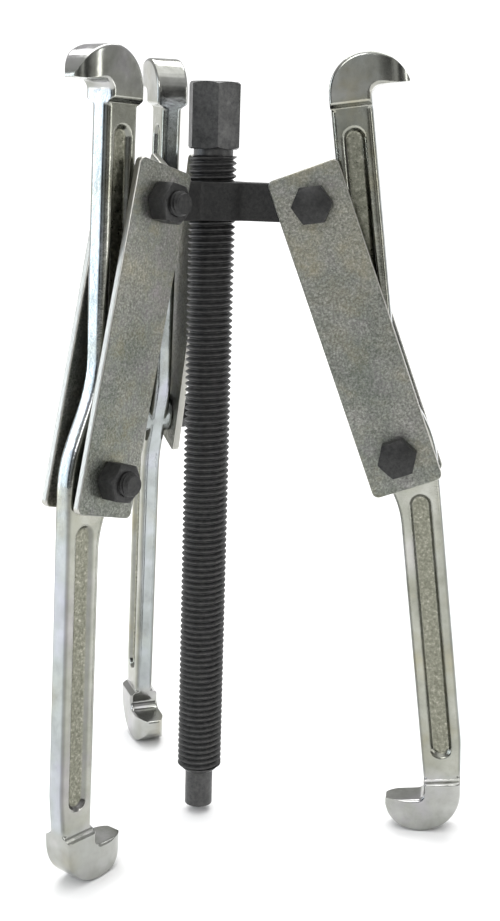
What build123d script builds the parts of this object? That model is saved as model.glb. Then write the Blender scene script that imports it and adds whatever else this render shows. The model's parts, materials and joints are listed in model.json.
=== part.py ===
from build123d import *
import os
from math import cos, radians, tan

# Three-leg gear puller.  Millimetres, +Z up along the forcing screw, origin on the screw axis at the
# lower end of the straight nose of the pressure tip.  Each leg stands in a vertical plane through the
# axis; its own frame has x outward, y along the pivot bolts (heads on the -y side) and z up.

# ---------------------------------------------------------------- driving dimensions: screw and tip
SCREW_RADIUS = 19.05 / 2          # 3/4 inch
THREAD_PITCH = 2.54               # 10 turns per inch
FLANK_ANGLE = 30.0
THREAD_DEPTH = 0.6134 * THREAD_PITCH
THREAD_CREST = THREAD_PITCH / 8
SCREW_END = 16.0                  # height of the screw's lower end face
SCREW_END_RADIUS = 6.5
SCREW_END_CHAMFER = 3.0
HEAD_BOTTOM = 284.7
HEAD_TOP = 310.8
HEAD_FLATS = 19.05
HEAD_TURN = 8.3                   # degrees that the hexagon is turned from flats facing +X
RELIEF_LENGTH = 2.5               # plain neck between the thread and the head

NOSE_RADIUS = 6.0
NOSE_POINT = 3.2
STEM_RADIUS = 4.0
STEM_LENGTH = 15.0
END_GAP = 0.1                     # play between the nose's shoulder and the screw's end face
RUNNING_FIT = 0.06                # radial clearance of everything that turns

# ---------------------------------------------------------------- driving dimensions: yoke and legs
YOKE_TOP = 272.1
YOKE_HEIGHT = 15.0
HUB_RADIUS = 15.0
ARM_THICKNESS = 13.8
ARM_BLEND = 5.0
PIVOT_RADIUS = 42.0
LEG_NAMES = ("right", "back", "front")
LEG_AZIMUTH = {"right": -10.0, "back": 110.0, "front": 230.0}
STRAP_ANGLE = {"right": 21.2, "back": 18.3, "front": 14.0}
JAW_ANGLE = {"right": 13.2, "back": 14.9, "front": 12.05}     # at 12.05 a jaw rests on its yoke arm

STRAP_GAP = 14.0
STRAP_THICKNESS = 3.2
STRAP_WIDTH = 29.5
STRAP_PITCH = 106.5               # between the two pivots
STRAP_MARGIN = 14.2
STRAP_CORNER = 2.6
STRAP_EDGE = 0.8

# ---------------------------------------------------------------- driving dimensions: bolts and nuts
BOLT_RADIUS = 9.525 / 2           # 3/8 inch
BOLT_FLATS = 14.29
BOLT_HEAD = 6.2
BOLT_LENGTH = 32.4
BOLT_CHAMFER = 1.0
UPPER_BOLT_TURN = 12.0
NUT_HEIGHT = 8.3
NUT_PLAY = 0.04
HEX_CHAMFER = 30.0                # slope of the turned corners of heads and nuts

# ---------------------------------------------------------------- driving dimensions: jaws
SHANK_THICKNESS = 8.8
HOOK_THICKNESS = 14.0
BOSS_RADIUS = 9.5
BOSS_THICKNESS = 13.8
UPPER_INNER = -14.6               # edges of the two parallel shanks, measured from the pivot
UPPER_OUTER = 2.0
LOWER_INNER = -1.5
LOWER_OUTER = 15.8
JOG_INNER_TOP = 12.0
JOG_INNER_BOTTOM = -23.5
JOG_OUTER_TOP = 36.5
JOG_OUTER_BOTTOM = 5.0
JOG_INNER_RADIUS = 36.0
JOG_OUTER_RADIUS = 50.0
CROWN_RADIUS = 15.3
CROWN_START = 144.2
UPPER_HOOK_FACE = 146.5
UPPER_HOOK_TIP = 17.3
UPPER_PAD_START = 139.0
LOWER_HOOK_BOTTOM = -166.7
SOLE_MIDDLE = -1.4
HEEL_START = -128.0
LOWER_HOOK_FACE = -152.4
LOWER_HOOK_TIP = -19.2
LOWER_PAD_START = -144.0
THROAT_RADIUS = 3.5
TIP_ROUNDING = 5.5                # of the hook tips, seen from above
SHANK_EDGE = 2.4
PAD_EDGE = 1.2
CHANNEL_DEPTH = 1.9
CHANNEL_WIDTH = 7.6
CHANNEL_DRAFT = 18.0
UPPER_CHANNEL_CENTRE = -6.4
UPPER_CHANNEL = (34.0, 130.0)
LOWER_CHANNEL_CENTRE = 7.3
LOWER_CHANNEL = (-132.5, -20.0)

PIVOT_HEIGHT = YOKE_TOP - YOKE_HEIGHT / 2
STRAP_FACE = STRAP_GAP / 2 + STRAP_THICKNESS
HOLE_RADIUS = BOLT_RADIUS + RUNNING_FIT


# ---------------------------------------------------------------- shared shapes
def hexagon_prism(flats, height, bottom_chamfer, top_chamfer):
    """A hexagon from z = 0 to height, corners turned off by cones at either end."""
    corner = flats / 2 / cos(radians(30))
    prism = extrude(RegularPolygon(corner, 6), height)
    drop = (corner - flats / 2 + 0.2) * tan(radians(HEX_CHAMFER))
    rim = flats / 2 - 0.2
    profile = [(0, 0)]
    profile += [(rim, 0), (corner, drop)] if bottom_chamfer else [(corner, 0)]
    profile += [(corner, height - drop), (rim, height)] if top_chamfer else [(corner, height)]
    profile += [(0, height)]
    turned = revolve(make_face(Plane.XZ * Polyline(*profile, close=True)), Axis.Z)
    return prism & turned


def bolt_and_nut():
    """Bolt along +y with its head on the -y side, and its nut, both about the origin."""
    head = hexagon_prism(BOLT_FLATS, BOLT_HEAD, False, True)
    head = Location((0, -STRAP_FACE, 0), (90, 0, 0)) * head
    shank_profile = [
        (0, 0),
        (BOLT_RADIUS, 0),
        (BOLT_RADIUS, BOLT_LENGTH - BOLT_CHAMFER),
        (BOLT_RADIUS - BOLT_CHAMFER, BOLT_LENGTH),
        (0, BOLT_LENGTH),
    ]
    shank = revolve(make_face(Plane.XZ * Polyline(*shank_profile, close=True)), Axis.Z)
    shank = Location((0, -STRAP_FACE, 0), (-90, 0, 0)) * shank
    nut = hexagon_prism(BOLT_FLATS, NUT_HEIGHT, True, True)
    nut -= Cylinder(BOLT_RADIUS + NUT_PLAY, 3 * NUT_HEIGHT)
    nut = Location((0, STRAP_FACE, 0), (-90, 0, 0)) * nut
    return head + shank, nut


# ---------------------------------------------------------------- forcing screw and pressure tip
def make_forcing_screw():
    root = SCREW_RADIUS - THREAD_DEPTH
    flank = THREAD_DEPTH * tan(radians(FLANK_ANGLE))
    first_ridge = SCREW_END + SCREW_END_CHAMFER
    last_ridge = HEAD_BOTTOM - RELIEF_LENGTH
    ridges = int((last_ridge - first_ridge) / THREAD_PITCH)
    profile = [(0, SCREW_END), (SCREW_END_RADIUS, SCREW_END), (root, SCREW_END + 1.5)]
    for ridge in range(ridges):
        z = first_ridge + ridge * THREAD_PITCH
        profile += [
            (root, z),
            (SCREW_RADIUS, z + flank),
            (SCREW_RADIUS, z + flank + THREAD_CREST),
            (root, z + 2 * flank + THREAD_CREST),
        ]
    profile += [(root, HEAD_BOTTOM), (0, HEAD_BOTTOM)]
    thread = revolve(make_face(Plane.XZ * Polyline(*profile, close=True)), Axis.Z)
    head = hexagon_prism(HEAD_FLATS, HEAD_TOP - HEAD_BOTTOM, True, True)
    head = Location((0, 0, HEAD_BOTTOM), (0, 0, 30 + HEAD_TURN)) * head
    socket = Cylinder(
        STEM_RADIUS + RUNNING_FIT,
        STEM_LENGTH + END_GAP,
        align=(Align.CENTER, Align.CENTER, Align.MIN),
    )
    return thread + head - Pos(0, 0, SCREW_END) * socket


def make_pressure_tip():
    shoulder = SCREW_END - END_GAP
    profile = [
        (0, -NOSE_POINT),
        (NOSE_RADIUS, 0),
        (NOSE_RADIUS, shoulder),
        (STEM_RADIUS, shoulder),
        (STEM_RADIUS, shoulder + STEM_LENGTH - 0.5),
        (STEM_RADIUS - 0.5, shoulder + STEM_LENGTH),
        (0, shoulder + STEM_LENGTH),
    ]
    return revolve(make_face(Plane.XZ * Polyline(*profile, close=True)), Axis.Z)


# ---------------------------------------------------------------- yoke
def make_yoke():
    yoke = Pos(0, 0, PIVOT_HEIGHT) * Cylinder(HUB_RADIUS, YOKE_HEIGHT)
    for name in LEG_NAMES:
        bar = Pos(PIVOT_RADIUS / 2, 0, 0) * Box(PIVOT_RADIUS, ARM_THICKNESS, YOKE_HEIGHT)
        eye = Pos(PIVOT_RADIUS, 0, 0) * Rot(X=90) * Cylinder(YOKE_HEIGHT / 2, ARM_THICKNESS)
        yoke += Location((0, 0, PIVOT_HEIGHT), (0, 0, LEG_AZIMUTH[name])) * (bar + eye)
    corners = [
        edge
        for edge in yoke.edges().filter_by(Axis.Z)
        if Vector(edge.center().X, edge.center().Y, 0).length < HUB_RADIUS + 1
    ]
    yoke = fillet(corners, ARM_BLEND)
    yoke -= Pos(0, 0, PIVOT_HEIGHT) * Cylinder(SCREW_RADIUS + RUNNING_FIT, 2 * YOKE_HEIGHT)
    for name in LEG_NAMES:
        hole = Pos(PIVOT_RADIUS, 0, 0) * Rot(X=90) * Cylinder(HOLE_RADIUS, 2 * ARM_THICKNESS)
        yoke -= Location((0, 0, PIVOT_HEIGHT), (0, 0, LEG_AZIMUTH[name])) * hole
    return yoke


# ---------------------------------------------------------------- leg pieces, about the upper pivot
def make_strap(side):
    """One strap hanging straight down from the upper pivot; side is -1 or +1 along y."""
    length = STRAP_PITCH + 2 * STRAP_MARGIN
    sheet = Plane.XZ * RectangleRounded(STRAP_WIDTH, length, STRAP_CORNER)
    strap = Pos(0, 0, -STRAP_PITCH / 2) * extrude(sheet, STRAP_THICKNESS / 2, both=True)
    rim = strap.faces().sort_by(Axis.Y)
    strap = fillet(rim[0].edges() + rim[-1].edges(), STRAP_EDGE)
    for z in (0, -STRAP_PITCH):
        strap -= Pos(0, 0, z) * Rot(X=90) * Cylinder(HOLE_RADIUS, 2 * STRAP_THICKNESS)
    return Pos(0, side * (STRAP_GAP + STRAP_THICKNESS) / 2, 0) * strap


# ---------------------------------------------------------------- jaw, about its own pivot
def jaw_outline():
    """The jaw's side view: x outward, z up, shank edges parallel to z."""
    inner = FilletPolyline(
        (UPPER_INNER, CROWN_START),
        (UPPER_INNER, JOG_INNER_TOP),
        (LOWER_INNER, JOG_INNER_BOTTOM),
        (LOWER_INNER, LOWER_HOOK_FACE),
        radius=JOG_INNER_RADIUS,
    )
    outer = FilletPolyline(
        (UPPER_OUTER, UPPER_HOOK_FACE),
        (UPPER_OUTER, JOG_OUTER_TOP),
        (LOWER_OUTER, JOG_OUTER_BOTTOM),
        (LOWER_OUTER, HEEL_START),
        radius=JOG_OUTER_RADIUS,
    )
    crown_back = JernArc((UPPER_INNER, CROWN_START), (0, 1), CROWN_RADIUS, -90)
    crown_front = TangentArc(crown_back @ 1, (UPPER_HOOK_TIP - 0.5, UPPER_HOOK_FACE + 1.7), tangent=(1, 0))
    upper_tip = Polyline(
        crown_front @ 1,
        (UPPER_HOOK_TIP, UPPER_HOOK_FACE),
        (UPPER_OUTER, UPPER_HOOK_FACE),
    )
    heel = Line((LOWER_OUTER, HEEL_START), (LOWER_OUTER - 2.1, LOWER_HOOK_FACE + 1.4))
    sole = ThreePointArc(heel @ 1, (SOLE_MIDDLE, LOWER_HOOK_BOTTOM), (LOWER_HOOK_TIP + 1, -159.3))
    lower_tip = Polyline(
        sole @ 1,
        (LOWER_HOOK_TIP, -156.0),
        (LOWER_HOOK_TIP + 0.4, LOWER_HOOK_FACE),
        (LOWER_INNER, LOWER_HOOK_FACE),
    )
    rims = (crown_back, crown_front, upper_tip, outer, heel, sole, lower_tip, inner)
    outline = make_face(Wire([edge for rim in rims for edge in rim.edges()]))
    throats = [
        corner
        for corner in outline.vertices()
        if (corner.center() - Vector(UPPER_OUTER, UPPER_HOOK_FACE)).length < 0.1
        or (corner.center() - Vector(LOWER_INNER, LOWER_HOOK_FACE)).length < 0.1
    ]
    return fillet(throats, THROAT_RADIUS)


def rounded_slab(outline, thickness, low, high, edge):
    """The outline between two heights, as a plate centred on the leg's plane, its rims rounded."""
    window = Pos(0, (low + high) / 2) * Rectangle(80, high - low)
    plate = extrude(Plane.XZ * (outline & window), thickness / 2, both=True)
    sides = plate.faces().filter_by(Axis.Y).sort_by(Axis.Y)
    return fillet(sides[0].edges() + sides[-1].edges(), edge)


def hook_pad(outline, low, high, tip, side):
    """A hook's thick end between two heights, its tip rounded off in plan; side is +1 for outward."""
    pad = rounded_slab(outline, HOOK_THICKNESS, low, high, PAD_EDGE)
    plan = RectangleRounded(80, HOOK_THICKNESS, TIP_ROUNDING)
    return pad & Pos(tip - side * 40, 0, 0) * extrude(plan, 400, both=True)


def channel(centre, span, thickness, side):
    """The round-ended recess in one side face, with drafted walls."""
    floor = Plane(
        origin=(centre, side * (thickness / 2 - CHANNEL_DEPTH), sum(span) / 2),
        x_dir=(0, 0, 1),
        z_dir=(0, side, 0),
    )
    floor_width = CHANNEL_WIDTH - 2 * CHANNEL_DEPTH * tan(radians(CHANNEL_DRAFT))
    slot = floor * SlotOverall(span[1] - span[0], floor_width)
    return extrude(slot, CHANNEL_DEPTH + 1, taper=-CHANNEL_DRAFT)


def make_jaw():
    outline = jaw_outline()
    jaw = rounded_slab(
        outline, SHANK_THICKNESS, LOWER_PAD_START - 3, UPPER_PAD_START + 3, SHANK_EDGE
    )
    jaw += hook_pad(outline, UPPER_PAD_START, 200, UPPER_HOOK_TIP, 1)
    jaw += hook_pad(outline, -200, LOWER_PAD_START, LOWER_HOOK_TIP, -1)
    jaw += Rot(X=90) * Cylinder(BOSS_RADIUS, BOSS_THICKNESS)
    for side in (-1, 1):
        jaw -= channel(UPPER_CHANNEL_CENTRE, UPPER_CHANNEL, SHANK_THICKNESS, side)
        jaw -= channel(LOWER_CHANNEL_CENTRE, LOWER_CHANNEL, SHANK_THICKNESS, side)
    return jaw - Rot(X=90) * Cylinder(HOLE_RADIUS, 2 * HOOK_THICKNESS)


# ---------------------------------------------------------------- assembly
def save(name, shape):
    pieces = shape.solids()
    export_step(pieces[0] if len(pieces) == 1 else Compound(pieces), f"parts/{name}.step")


os.makedirs("parts", exist_ok=True)
save("forcing_screw", make_forcing_screw())
save("pressure_tip", make_pressure_tip())
save("yoke", make_yoke())

bolt, nut = bolt_and_nut()
jaw = make_jaw()
near_strap = make_strap(-1)
far_strap = make_strap(1)
for name in LEG_NAMES:
    angle = STRAP_ANGLE[name]
    leg_plane = Location((0, 0, PIVOT_HEIGHT), (0, 0, LEG_AZIMUTH[name])) * Pos(PIVOT_RADIUS, 0, 0)
    link = leg_plane * Rot(Y=-angle)
    lower_pivot = link * Pos(0, 0, -STRAP_PITCH)
    save(f"{name}_strap_near", link * near_strap)
    save(f"{name}_strap_far", link * far_strap)
    save(f"{name}_upper_bolt", link * Rot(Y=UPPER_BOLT_TURN) * bolt)
    save(f"{name}_upper_nut", link * nut)
    save(f"{name}_lower_bolt", lower_pivot * bolt)
    save(f"{name}_lower_nut", lower_pivot * nut)
    save(f"{name}_jaw", lower_pivot * Rot(Y=JAW_ANGLE[name]) * jaw)
    pivot = lower_pivot.position
    print(name, "lower pivot", round(pivot.X, 4), round(pivot.Y, 4), round(pivot.Z, 4))
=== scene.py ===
import json
import math

import bmesh
import bpy
import numpy as np
from mathutils import Matrix, Vector


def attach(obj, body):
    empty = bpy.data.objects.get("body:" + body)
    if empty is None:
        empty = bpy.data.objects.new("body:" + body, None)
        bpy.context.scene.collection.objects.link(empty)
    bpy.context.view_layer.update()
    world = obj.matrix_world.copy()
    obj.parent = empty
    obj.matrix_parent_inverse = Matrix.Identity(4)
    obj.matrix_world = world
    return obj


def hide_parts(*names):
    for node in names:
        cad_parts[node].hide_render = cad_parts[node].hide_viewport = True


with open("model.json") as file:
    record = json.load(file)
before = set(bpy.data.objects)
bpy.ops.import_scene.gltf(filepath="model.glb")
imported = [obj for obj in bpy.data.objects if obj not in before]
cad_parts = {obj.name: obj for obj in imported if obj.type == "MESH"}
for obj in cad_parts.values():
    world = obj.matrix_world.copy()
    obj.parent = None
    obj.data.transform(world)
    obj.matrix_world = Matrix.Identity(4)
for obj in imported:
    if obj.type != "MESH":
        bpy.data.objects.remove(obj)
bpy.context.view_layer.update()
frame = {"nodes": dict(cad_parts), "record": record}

MM = 0.001
LEGS = ("right", "back", "front")
record = frame["record"]
body_of_node = {
    node: body for body, nodes in record["behaviour"]["bodies"].items() for node in nodes
}

# ---------------------------------------------------------------- driving dimensions
THREAD_DEPTH = 0.6134             # depth of a thread, as a share of its pitch
THREAD_COLUMNS = 64               # facets around a thread
DISC_CORNERS = 48
SCREW_RADIUS = 9.525 * MM
SCREW_PITCH = 2.54 * MM
SCREW_THREAD = (19.0 * MM, 282.2 * MM)
BOLT_RADIUS = 4.7625 * MM
BOLT_PITCH = 1.5875 * MM
BOLT_THREAD_LENGTH = 15.0 * MM
JAW_GRAIN = 0.5 * MM              # size of the voxels that a jaw is remeshed with
SHANK_HALF = 4.4 * MM             # half the thickness of a jaw's shanks
HOOK_HALF = 7.0 * MM              # half the thickness of its hooks
SHOULDER = 2.2 * MM               # length of the slope between a shank and its hook
NOSE = 12.5 * MM                  # length over which a hook narrows to its tip
LOWER_HOOK = (-144.0 * MM, -19.7 * MM)     # height where it starts, and how far out its tip lies
UPPER_HOOK = (139.0 * MM, 17.8 * MM)
HOOK_FINISH = (140.0 * MM, 145.0 * MM)     # heights between which the forged skin turns smoother
CHANNEL_DEPTH = 2.0 * MM
CHANNELS = (                      # centre, half width, low end, high end, width of the wall
    (-6.4 * MM, 4.9 * MM, 30.5 * MM, 132.0 * MM, 2.3 * MM),
    (7.2 * MM, 5.3 * MM, -135.0 * MM, -17.0 * MM, 2.6 * MM),
)

# ---------------------------------------------------------------- camera
CAMERA_PLACE = (0.0, -0.5621, 0.2862)
CAMERA_YAW = -1.885
CAMERA_PITCH = -12.95
CAMERA_ROLL = 1.77
FOCAL_LENGTH = 53.36


def make_camera():
    data = bpy.data.cameras.new("camera")
    data.lens = FOCAL_LENGTH
    data.sensor_width = 36.0
    data.clip_start = 0.01
    camera = bpy.data.objects.new("camera", data)
    bpy.context.scene.collection.objects.link(camera)
    turn = Matrix.Rotation(math.radians(CAMERA_YAW), 4, "Z")
    tilt = Matrix.Rotation(math.radians(90 + CAMERA_PITCH), 4, "X")
    roll = Matrix.Rotation(math.radians(CAMERA_ROLL), 4, "Z")
    camera.matrix_world = Matrix.Translation(CAMERA_PLACE) @ turn @ tilt @ roll
    bpy.context.scene.camera = camera


# ---------------------------------------------------------------- node helpers
def new_material(name, metallic, roughness):
    material = bpy.data.materials.new(name)
    material.use_nodes = True
    shader = material.node_tree.nodes["Principled BSDF"]
    shader.inputs["Metallic"].default_value = metallic
    shader.inputs["Roughness"].default_value = roughness
    return material, material.node_tree, shader


def object_space(tree):
    return tree.nodes.new("ShaderNodeTexCoord").outputs["Object"]


def noise(tree, where, scale, detail=4.0, rough=0.55):
    node = tree.nodes.new("ShaderNodeTexNoise")
    node.inputs["Scale"].default_value = scale
    node.inputs["Detail"].default_value = detail
    node.inputs["Roughness"].default_value = rough
    tree.links.new(where, node.inputs["Vector"])
    return node.outputs["Fac"]


def ramp(tree, value, stops):
    node = tree.nodes.new("ShaderNodeValToRGB")
    elements = node.color_ramp.elements
    while len(elements) < len(stops):
        elements.new(0.5)
    for element, (place, colour) in zip(elements, stops):
        element.position = place
        element.color = (*colour, 1.0)
    tree.links.new(value, node.inputs["Fac"])
    return node.outputs["Color"]


def grey_ramp(tree, value, stops):
    return ramp(tree, value, [(place, (level, level, level)) for place, level in stops])


def mix(tree, factor, first, second, kind="MIX"):
    node = tree.nodes.new("ShaderNodeMix")
    node.data_type = "RGBA"
    node.blend_type = kind
    if isinstance(factor, float):
        node.inputs["Factor"].default_value = factor
    else:
        tree.links.new(factor, node.inputs["Factor"])
    for socket, value in ((node.inputs["A"], first), (node.inputs["B"], second)):
        if isinstance(value, tuple):
            socket.default_value = (*value, 1.0)
        else:
            tree.links.new(value, socket)
    return node.outputs["Result"]


def bump(tree, height, strength, distance, below=None):
    node = tree.nodes.new("ShaderNodeBump")
    node.inputs["Strength"].default_value = strength
    node.inputs["Distance"].default_value = distance
    tree.links.new(height, node.inputs["Height"])
    if below is not None:
        tree.links.new(below, node.inputs["Normal"])
    return node.outputs["Normal"]


# ---------------------------------------------------------------- materials
def marked(tree, name):
    """How much a corner of the mesh carries the named mark, from 0 to 1."""
    node = tree.nodes.new("ShaderNodeAttribute")
    node.attribute_name = name
    return node.outputs["Fac"]


def plated_jaw_material():
    """Bright zinc over a forged, pebbled surface, with faint gold and violet tints.
    The hooks are ground smoother, and the channel floors are duller and olive. On the shanks, painted
    highlight makes the narrow faces bluer and brighter than their sides, and painted shade darkens the
    corners between."""
    material, tree, shader = new_material("plated_jaw", 1.0, 0.3)
    where = object_space(tree)
    base = ramp(
        tree,
        noise(tree, where, 60, 5, 0.6),
        [(0.3, (0.25, 0.255, 0.23)), (0.52, (0.37, 0.375, 0.35)), (0.75, (0.50, 0.50, 0.49))],
    )
    tint = ramp(
        tree,
        noise(tree, where, 30, 3, 0.5),
        [(0.36, (0.42, 0.37, 0.23)), (0.5, (0.37, 0.385, 0.36)), (0.64, (0.38, 0.35, 0.42))],
    )
    patches = grey_ramp(tree, noise(tree, where, 48, 5, 0.65), [(0.46, 0.0), (0.66, 0.45)])
    ground_hook = marked(tree, "ground")
    # painted highlight and shade by surface direction: narrow faces brighter and bluer, corners
    # darker, broad sides nearly unchanged
    facing = ramp(
        tree,
        marked(tree, "sideways"),
        [
            (0.15, (1.10, 1.16, 1.24)),
            (0.45, (0.62, 0.64, 0.66)),
            (0.7, (0.60, 0.60, 0.57)),
            (0.93, (0.94, 0.94, 0.88)),
        ],
    )
    # the painted highlight and shade, left off the ground hooks
    painted_facing_light = mix(tree, ground_hook, facing, (1.0, 1.0, 1.0))
    recess = grey_ramp(tree, marked(tree, "recess"), [(0.72, 0.0), (0.98, 1.0)])
    skin = ramp(
        tree,
        noise(tree, where, 820, 4, 0.7),
        [(0.34, (0.15, 0.152, 0.115)), (0.55, (0.25, 0.25, 0.20)), (0.72, (0.46, 0.45, 0.38))],
    )
    outside = mix(tree, 1.0, mix(tree, patches, base, tint), painted_facing_light, "MULTIPLY")
    shown = mix(tree, recess, outside, skin)
    tree.links.new(shown, shader.inputs["Base Color"])
    gloss = grey_ramp(tree, noise(tree, where, 90, 6, 0.65), [(0.3, 0.10), (0.7, 0.25)])
    dull = grey_ramp(tree, noise(tree, where, 500, 4, 0.65), [(0.3, 0.2), (0.7, 0.5)])
    tree.links.new(mix(tree, recess, gloss, dull), shader.inputs["Roughness"])
    forged = noise(tree, where, 620, 4, 0.65)
    ground = noise(tree, where, 260, 2, 0.5)
    height = mix(tree, ground_hook, forged, ground)
    soft = bump(tree, noise(tree, where, 95, 2, 0.5), 0.5, 0.0004)
    tree.links.new(bump(tree, height, 0.5, 0.00013, soft), shader.inputs["Normal"])
    return material


def zinc_strap_material():
    """Dull zinc passivate, finely mottled in grey with straw and lilac flecks; cut edges glossier,
    with a painted highlight.
    """
    material, tree, shader = new_material("zinc_strap", 0.9, 0.5)
    where = object_space(tree)
    base = ramp(
        tree,
        noise(tree, where, 1100, 5, 0.75),
        [(0.34, (0.085, 0.087, 0.075)), (0.5, (0.195, 0.197, 0.175)), (0.68, (0.40, 0.40, 0.37))],
    )
    tint = ramp(
        tree,
        noise(tree, where, 70, 5, 0.7),
        [(0.36, (0.30, 0.265, 0.16)), (0.5, (0.20, 0.215, 0.19)), (0.64, (0.24, 0.215, 0.245))],
    )
    patches = grey_ramp(tree, noise(tree, where, 40, 5, 0.65), [(0.42, 0.1), (0.7, 0.5)])
    stain = ramp(
        tree,
        noise(tree, where, 22, 5, 0.6),
        [(0.38, (0.82, 0.86, 0.84)), (0.52, (1.12, 1.12, 1.12)), (0.66, (1.26, 1.24, 1.19))],
    )
    glossy_rim_highlight = marked(tree, "glossy_rim_highlight")
    faces = mix(tree, 1.0, mix(tree, patches, base, tint), stain, "MULTIPLY")
    # the cut edges are painted a flat lighter grey: a painted highlight
    tree.links.new(mix(tree, glossy_rim_highlight, faces, (0.44, 0.435, 0.40)), shader.inputs["Base Color"])
    gloss = grey_ramp(tree, noise(tree, where, 300, 5, 0.7), [(0.3, 0.30), (0.7, 0.55)])
    tree.links.new(mix(tree, glossy_rim_highlight, gloss, (0.28, 0.28, 0.28)), shader.inputs["Roughness"])
    grain = bump(tree, noise(tree, where, 900, 4, 0.7), 0.6, 0.0002)
    tree.links.new(grain, shader.inputs["Normal"])
    return material


def black_oxide_material(name, level, low_gloss, high_gloss, grain_size, grain_depth):
    """Black oxide on steel: near black, with worn lighter specks and a slight oily sheen."""
    material, tree, shader = new_material(name, 0.6, 0.45)
    where = object_space(tree)
    specks = grey_ramp(tree, noise(tree, where, grain_size, 6, 0.75), [(0.35, 0.0), (0.75, 1.0)])
    dark = (level, level, level * 1.03)
    worn = (level * 2.6, level * 2.6, level * 2.5)
    tree.links.new(mix(tree, specks, dark, worn), shader.inputs["Base Color"])
    gloss = grey_ramp(tree, noise(tree, where, 160, 5, 0.7), [(0.3, low_gloss), (0.7, high_gloss)])
    tree.links.new(gloss, shader.inputs["Roughness"])
    grain = bump(tree, noise(tree, where, grain_size, 5, 0.7), 0.5, grain_depth)
    tree.links.new(grain, shader.inputs["Normal"])
    return material


def floor_material():
    """Matt, nearly white, with the faintest unevenness."""
    material, tree, shader = new_material("pale_floor", 0.0, 0.8)
    tint = ramp(
        tree,
        noise(tree, object_space(tree), 3, 2, 0.5),
        [(0.4, (0.93, 0.93, 0.93)), (0.6, (0.95, 0.95, 0.95))],
    )
    tree.links.new(tint, shader.inputs["Base Color"])
    shader.inputs["Specular IOR Level"].default_value = 0.1
    return material


MATERIALS = {
    "plated_jaw": plated_jaw_material(),
    "zinc_strap": zinc_strap_material(),
    "black_screw": black_oxide_material("black_screw", 0.042, 0.28, 0.5, 500, 0.00005),
    "black_yoke": black_oxide_material("black_yoke", 0.015, 0.45, 0.65, 700, 0.00014),
    "black_fastener": black_oxide_material("black_fastener", 0.021, 0.34, 0.55, 600, 0.00006),
}
slot_of_node = {piece["node"]: piece["material_slot"] for piece in record["subparts"]}


# ---------------------------------------------------------------- mesh helpers
def settle(mesh, sharp_angle):
    """Joins doubled corners and shades the mesh smooth except across edges sharper than the angle."""
    work = bmesh.new()
    work.from_mesh(mesh)
    bmesh.ops.remove_doubles(work, verts=work.verts, dist=1e-6)
    for face in work.faces:
        face.smooth = True
    for edge in work.edges:
        if len(edge.link_faces) == 2:
            edge.smooth = edge.calc_face_angle() < sharp_angle
    work.to_mesh(mesh)
    work.free()


def add_mark(mesh, name, domain, values):
    """Stores one number for each corner or face, for the materials to read."""
    mark = mesh.attributes.new(name, "FLOAT", domain)
    mark.data.foreach_set("value", values)


def stand_in(node, mesh):
    """Puts a finished mesh in place of a CAD node, on its body and with its finish."""
    piece = bpy.data.objects.new(node + "_finished", mesh)
    bpy.context.scene.collection.objects.link(piece)
    mesh.materials.clear()
    mesh.materials.append(MATERIALS[slot_of_node[node]])
    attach(piece, body_of_node[node])
    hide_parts(node)
    return piece


def cad_mesh(node):
    """A copy of the CAD node's mesh in the row frame."""
    source = frame["nodes"][node]
    mesh = source.data.copy()
    mesh.name = node + "_mesh"
    mesh.transform(source.matrix_world)
    return mesh


def helical_thread(work, radius, pitch, low, high, place, chamfer=0.0):
    """Adds a 60 degree thread with a true helix along local z, its root a truncated vee.
    The ends are cut flat, with the crests chamfered over the last of the high end.
    A profile is a row of phases along the pitch, and the share of the depth at each."""
    depth = THREAD_DEPTH * pitch
    phases = (0.0, 0.0625, 0.1875, 0.34, 0.5, 0.5625, 0.6875, 0.84)
    heights = (1.0, 1.0, 0.76, 0.38, 0.0, 0.0, 0.38, 0.76)
    turns = int((high - low) / pitch) + 3
    rings = []
    for turn in range(turns):
        for phase, height in zip(phases, heights):
            ring = []
            for column in range(THREAD_COLUMNS):
                share = column / THREAD_COLUMNS
                z = low + (turn - 1.5 + phase + share) * pitch
                z = min(max(z, low), high)
                reach = radius - depth + depth * height
                if chamfer:
                    reach = min(reach, radius - chamfer + (high - z))
                angle = 2 * math.pi * share
                corner = Vector((reach * math.cos(angle), reach * math.sin(angle), z))
                ring.append(work.verts.new(place @ corner))
            rings.append(ring)
    steps = len(phases)
    for index in range(len(rings) - steps - 1):
        for column in range(THREAD_COLUMNS):
            if column < THREAD_COLUMNS - 1:
                across = rings[index][column + 1], rings[index + 1][column + 1]
            else:
                across = rings[index + steps][0], rings[index + steps + 1][0]
            corners = (rings[index][column], across[0], across[1], rings[index + 1][column])
            if (corners[0].co - corners[2].co).length > 1e-7:
                work.faces.new(corners)


def disc(work, radius, z, place, up):
    """Adds a flat disc facing along local z (up = 1) or against it (up = -1)."""
    corners = []
    for step in range(DISC_CORNERS):
        angle = up * 2 * math.pi * step / DISC_CORNERS
        spot = Vector((radius * math.cos(angle), radius * math.sin(angle), z))
        corners.append(work.verts.new(place @ spot))
    work.faces.new(corners)


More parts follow.
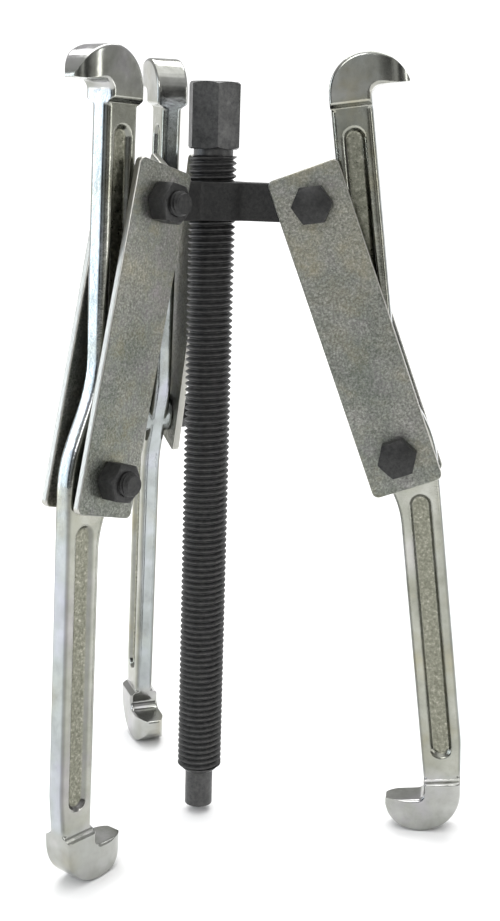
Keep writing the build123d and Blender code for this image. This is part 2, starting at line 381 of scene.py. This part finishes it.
# ---------------------------------------------------------------- forcing screw
def finish_screw():
    """The head, neck and end of the CAD screw, with a true helical thread between them."""
    bore_clear = 5 * MM
    mesh = cad_mesh("forcing_screw")
    work = bmesh.new()
    work.from_mesh(mesh)
    low, high = SCREW_THREAD
    rings = [
        face
        for face in work.faces
        if all(low - 0.1 * MM < corner.co.z < high + 1.0 * MM for corner in face.verts)
        and face.calc_center_median().xy.length > bore_clear
    ]
    bmesh.ops.delete(work, geom=rings, context="FACES")
    helical_thread(work, SCREW_RADIUS, SCREW_PITCH, low, high, Matrix())
    root = SCREW_RADIUS - THREAD_DEPTH * SCREW_PITCH
    disc(work, root, low, Matrix(), -1)
    disc(work, root, high, Matrix(), 1)
    bmesh.ops.dissolve_degenerate(work, edges=work.edges, dist=1e-7)
    work.to_mesh(mesh)
    work.free()
    settle(mesh, math.radians(40))
    return stand_in("forcing_screw", mesh)


# ---------------------------------------------------------------- jaws
def leg_joint(name):
    return next(joint for joint in record["behaviour"]["joints"] if joint["name"] == name)


def jaw_place(leg):
    """The jaw's own frame in the row frame: x outward, y along the pivot, z up the shanks."""
    along = Vector(leg_joint(leg + "_jaw_swing")["axis"]).normalized()
    pivot = Vector(leg_joint(leg + "_jaw_swing")["pos_m"])
    grip = next(mount for mount in record["mounts"] if mount["name"] == leg + "_gripping_face")
    up = Vector(grip["axis"]).normalized()
    outward = along.cross(up)
    place = Matrix((outward, along, up)).transposed().to_4x4()
    place.translation = pivot
    return place


def ease(value, low, high):
    """0 below low and 1 above high, with a smooth step between."""
    step = np.clip((value - low) / (high - low), 0.0, 1.0)
    return step * step * (3 - 2 * step)


def slot_depth(x, z, centre, half_width, low, high, wall):
    """1 inside a round-ended slot, falling to 0 across its sloping wall."""
    past_end = np.maximum(0.0, np.maximum(low + half_width - z, z - high + half_width))
    away = np.hypot(x - centre, past_end)
    return 1.0 - ease(away, half_width - wall, half_width)


def hook_half_width(x, z):
    """Half the width that a hook may have: sloping shoulders above the shank, and a rounded nose."""
    limit = np.full(len(x), np.inf)
    for start, tip in (LOWER_HOOK, UPPER_HOOK):
        side = math.copysign(1.0, tip)
        beyond = (z - start) * math.copysign(1.0, start)
        shoulder = SHANK_HALF + (HOOK_HALF - SHANK_HALF) * ease(beyond, 0.0, SHOULDER)
        along = np.clip((x * side - abs(tip) + NOSE) / NOSE, 0.0, 1.0)
        nose = HOOK_HALF * np.sqrt(1.0 - along * along)
        here = beyond > -2 * MM
        limit[here] = np.minimum(shoulder, nose)[here]
    return limit


def finish_jaw(leg):
    """The CAD jaw remeshed finely, its corners softened as by forging, its channels' walls
    sloped and its hooks shaped. Its marks say where the skin differs, and which way each point faces
    for the painted highlight and shade."""
    node = leg + "_jaw"
    mesh = cad_mesh(node)
    place = jaw_place(leg)
    mesh.transform(place.inverted())
    rough = bpy.data.objects.new(node + "_rough", mesh)
    bpy.context.scene.collection.objects.link(rough)
    grid = rough.modifiers.new("grid", "REMESH")
    grid.mode = "VOXEL"
    grid.voxel_size = JAW_GRAIN
    soften = rough.modifiers.new("soften", "SMOOTH")
    soften.factor = 0.5
    soften.iterations = 3
    graph = bpy.context.evaluated_depsgraph_get()
    fine = bpy.data.meshes.new_from_object(rough.evaluated_get(graph))
    bpy.data.objects.remove(rough)
    fine.name = node + "_mesh"
    points = np.empty(len(fine.vertices) * 3)
    fine.vertices.foreach_get("co", points)
    points = points.reshape(-1, 3)
    x, y, z = points[:, 0], points[:, 1], points[:, 2]
    recess = np.zeros(len(points))
    for channel in CHANNELS:
        recess = np.maximum(recess, slot_depth(x, z, *channel))
    floor_height = SHANK_HALF - recess * CHANNEL_DEPTH
    inside = (recess > 0) & (np.abs(y) > SHANK_HALF - CHANNEL_DEPTH - 0.4 * MM)
    y[inside] = np.sign(y[inside]) * np.minimum(np.abs(y[inside]), floor_height[inside])
    y[:] = np.sign(y) * np.minimum(np.abs(y), hook_half_width(x, z))
    fine.vertices.foreach_set("co", points.ravel())
    add_mark(fine, "recess", "POINT", np.where(inside, recess, 0.0))
    add_mark(fine, "ground", "POINT", ease(np.abs(z), *HOOK_FINISH))
    fine.update()
    normals = np.empty(len(points) * 3)
    fine.vertex_normals.foreach_get("vector", normals)
    # which way each point faces, read by the jaw's painted highlight and shade
    add_mark(fine, "sideways", "POINT", np.abs(normals[1::3]))
    for face in fine.polygons:
        face.use_smooth = True
    fine.transform(place)
    return stand_in(node, fine)


# ---------------------------------------------------------------- fasteners
def pivot_frame(leg, which):
    """The frame of a pivot bolt: z along the bolt towards its nut."""
    along = Vector(leg_joint(leg + "_jaw_swing")["axis"]).normalized()
    joint = leg_joint(leg + ("_link_swing" if which == "upper" else "_jaw_swing"))
    side = along.cross(Vector((0, 0, 1))).normalized()
    place = Matrix((side, along.cross(side), along)).transposed().to_4x4()
    place.translation = Vector(joint["pos_m"])
    return place


def finish_bolt(leg, which):
    """The CAD bolt with a true thread on the end of its shank."""
    node = f"{leg}_{which}_bolt"
    mesh = cad_mesh(node)
    place = pivot_frame(leg, which)
    mesh.transform(place.inverted())
    top = max(corner.co.z for corner in mesh.vertices)
    low = top - BOLT_THREAD_LENGTH
    work = bmesh.new()
    work.from_mesh(mesh)
    bmesh.ops.bisect_plane(
        work,
        geom=work.verts[:] + work.edges[:] + work.faces[:],
        plane_co=(0, 0, low),
        plane_no=(0, 0, 1),
        clear_outer=True,
    )
    helical_thread(work, BOLT_RADIUS, BOLT_PITCH, low, top, Matrix(), BOLT_PITCH)
    root = BOLT_RADIUS - THREAD_DEPTH * BOLT_PITCH
    disc(work, BOLT_RADIUS, low, Matrix(), 1)
    disc(work, root, top, Matrix(), 1)
    bmesh.ops.dissolve_degenerate(work, edges=work.edges, dist=1e-7)
    work.to_mesh(mesh)
    work.free()
    mesh.transform(place)
    settle(mesh, math.radians(40))
    return stand_in(node, mesh)


def finish_strap(leg, side):
    """The CAD strap, with its cut edges marked for a painted highlight and a glossier finish than its
    flat faces.
    """
    node = f"{leg}_strap_{side}"
    mesh = cad_mesh(node)
    settle(mesh, math.radians(32))
    along = Vector(leg_joint(leg + "_link_swing")["axis"])
    # faces across the strap's thickness, which get the painted highlight and lower roughness
    turned = [abs(face.normal.dot(along)) < 0.8 for face in mesh.polygons]
    add_mark(mesh, "glossy_rim_highlight", "FACE", [float(flag) for flag in turned])
    return stand_in(node, mesh)


def finish_plain(node, edge, sharp_angle):
    """The CAD piece with its sharp edges worn to a small radius."""
    mesh = cad_mesh(node)
    settle(mesh, sharp_angle)
    piece = stand_in(node, mesh)
    wear = piece.modifiers.new("wear", "BEVEL")
    wear.width = edge
    wear.segments = 3
    wear.limit_method = "ANGLE"
    wear.angle_limit = math.radians(30)
    return piece


# ---------------------------------------------------------------- the whole puller
make_camera()
finish_screw()
finish_plain("yoke", 0.5 * MM, math.radians(30))
finish_plain("pressure_tip", 0.3 * MM, math.radians(30))
for leg in LEGS:
    finish_jaw(leg)
    for which in ("upper", "lower"):
        finish_bolt(leg, which)
        finish_plain(f"{leg}_{which}_nut", 0.25 * MM, math.radians(30))
    for side in ("near", "far"):
        finish_strap(leg, side)


# ---------------------------------------------------------------- floor
FLOOR_REACH = 2.4


def lowest(points, normal):
    return min(points, key=lambda point: point.dot(normal))


def make_floor():
    """A pale floor through the lowest points of the three feet."""
    feet = []
    for leg in LEGS:
        jaw = frame["nodes"][leg + "_jaw"]
        feet.append([jaw.matrix_world @ corner.co for corner in jaw.data.vertices])
    normal = Vector((0, 0, 1))
    for round_of_settling in range(5):
        soles = [lowest(points, normal) for points in feet]
        normal = (soles[1] - soles[0]).cross(soles[2] - soles[0]).normalized()
        if normal.z < 0:
            normal.negate()
    work = bmesh.new()
    bmesh.ops.create_grid(work, x_segments=8, y_segments=8, size=FLOOR_REACH)
    mesh = bpy.data.meshes.new("floor")
    work.to_mesh(mesh)
    work.free()
    mesh.materials.append(floor_material())
    floor = bpy.data.objects.new("floor", mesh)
    bpy.context.scene.collection.objects.link(floor)
    turn = Vector((0, 0, 1)).rotation_difference(normal).to_matrix().to_4x4()
    centre = sum(soles, Vector()) / 3
    floor.matrix_world = Matrix.Translation(centre) @ turn
    return floor


make_floor()


# ---------------------------------------------------------------- light
WORLD_STRENGTH = 2.0
WORLD_ACROSS = (                  # grey levels from the left (0) to the right (1) of the camera's side
    (0.0, 0.92), (0.03, 0.80), (0.055, 0.02), (0.16, 0.02), (0.21, 0.36), (0.27, 0.2), (0.36, 0.30),
    (0.48, 0.10), (0.62, 0.06), (0.74, 0.34), (0.78, 0.03), (0.86, 0.04), (0.92, 0.20), (1.0, 0.24),
)
WORLD_TINT = (                    # and their tint, cooler on the left
    (0.0, (0.86, 0.96, 1.08)), (0.3, (0.97, 1.0, 1.02)), (0.6, (1.0, 1.0, 0.97)),
)
WORLD_BEHIND = ((0.56, 0.0), (0.68, 1.0))  # where the tent takes over behind the object
WORLD_ABOVE = ((0.62, 0.0), (0.80, 1.0))   # and above it
TENT_HEIGHT = (                   # the tent's levels from below to above: white, a grey band, white
    (0.535, 0.625), (0.60, 0.30), (0.86, 0.30), (0.96, 0.95),
)


def area_light(name, place, target, size, power, colour=(1, 1, 1)):
    data = bpy.data.lights.new(name, "AREA")
    data.shape = "RECTANGLE"
    data.size, data.size_y = size
    data.energy = power
    data.color = colour
    light = bpy.data.objects.new(name, data)
    bpy.context.scene.collection.objects.link(light)
    aim = Vector(target) - Vector(place)
    light.matrix_world = Matrix.Translation(place) @ aim.to_track_quat("-Z", "Y").to_matrix().to_4x4()
    return light


def make_world():
    """A light tent: white behind the object and overhead, uneven greys on the camera's side."""
    world = bpy.data.worlds.new("studio")
    bpy.context.scene.world = world
    world.use_nodes = True
    tree = world.node_tree
    where = tree.nodes.new("ShaderNodeTexCoord").outputs["Generated"]
    split = tree.nodes.new("ShaderNodeSeparateXYZ")
    tree.links.new(where, split.inputs["Vector"])
    places = {}
    levels = {}
    for axis, stops in (("X", WORLD_ACROSS), ("Y", WORLD_BEHIND), ("Z", WORLD_ABOVE)):
        lift = tree.nodes.new("ShaderNodeMath")
        lift.operation = "MULTIPLY_ADD"
        lift.inputs[1].default_value = 0.5
        lift.inputs[2].default_value = 0.5
        tree.links.new(split.outputs[axis], lift.inputs[0])
        places[axis] = lift.outputs[0]
        levels[axis] = grey_ramp(tree, places[axis], stops)
    tent = grey_ramp(tree, places["Z"], TENT_HEIGHT)
    across = mix(tree, 1.0, levels["X"], ramp(tree, places["X"], WORLD_TINT), "MULTIPLY")
    sides = mix(tree, levels["Y"], across, tent)
    background = tree.nodes["Background"]
    tree.links.new(mix(tree, levels["Z"], sides, tent), background.inputs["Color"])
    background.inputs["Strength"].default_value = WORLD_STRENGTH


make_world()
CENTRE = (0, 0, 0.13)
area_light("key", (-0.55, -1.2, 1.0), CENTRE, (0.5, 0.5), 5)
area_light("left_strip", (-1.1, -0.05, 0.2), CENTRE, (0.12, 1.3), 2, (0.90, 0.95, 1.0))
area_light("right_strip", (1.1, -0.35, 0.3), CENTRE, (0.2, 0.9), 2)
area_light("above_floor", (0.0, 1.5, 2.4), (0, 1.5, 0), (3.0, 1.5), 60)

scene = bpy.context.scene
scene.view_settings.view_transform = "Standard"
